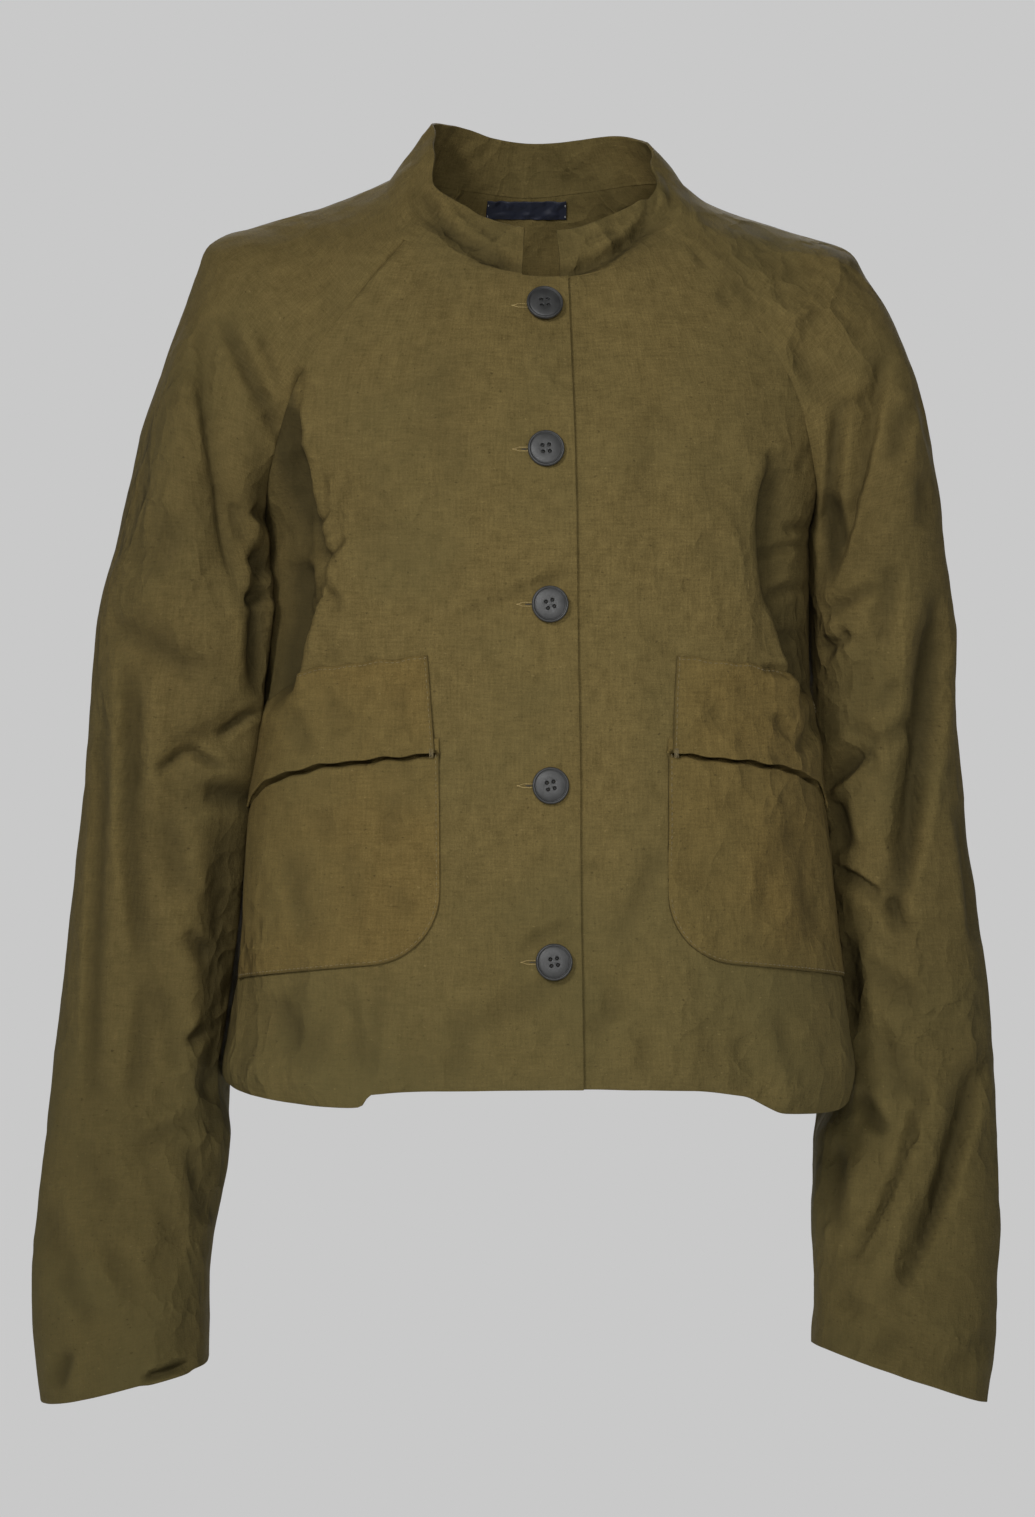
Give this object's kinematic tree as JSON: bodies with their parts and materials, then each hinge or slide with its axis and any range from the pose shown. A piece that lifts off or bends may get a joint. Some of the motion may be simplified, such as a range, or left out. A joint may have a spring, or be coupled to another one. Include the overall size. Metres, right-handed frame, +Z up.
{
  "type": "cropped jacket",
  "caption": "Cropped linen jacket with raglan sleeves, a stand collar, a buttoned front and patch pockets with flaps, filled out as worn and hollow.",
  "frame": {"origin": "middle of the body at the level of the shoulders, where the wearer's shoulders carry the jacket", "axes": "+X to the wearer's left, -Y to the front, +Z up"},
  "size_m": [0.5539, 0.2423, 0.7338],
  "materials": {
    "linen": "matt olive-brown linen with slubs",
    "button": "satin dark grey",
    "label": "woven, plain navy"
  },
  "bodies": {
    "root": {"back": "linen", "collar": "linen", "front_left": "linen", "front_right": "linen", "pocket_flap_left": "linen", "pocket_flap_right": "linen", "pocket_left": "linen", "pocket_right": "linen", "sleeve_left": "linen", "sleeve_right": "linen", "button_1": "button", "button_2": "button", "button_3": "button", "button_4": "button", "button_5": "button", "neck_label": "label"}
  },
  "joints": []
}
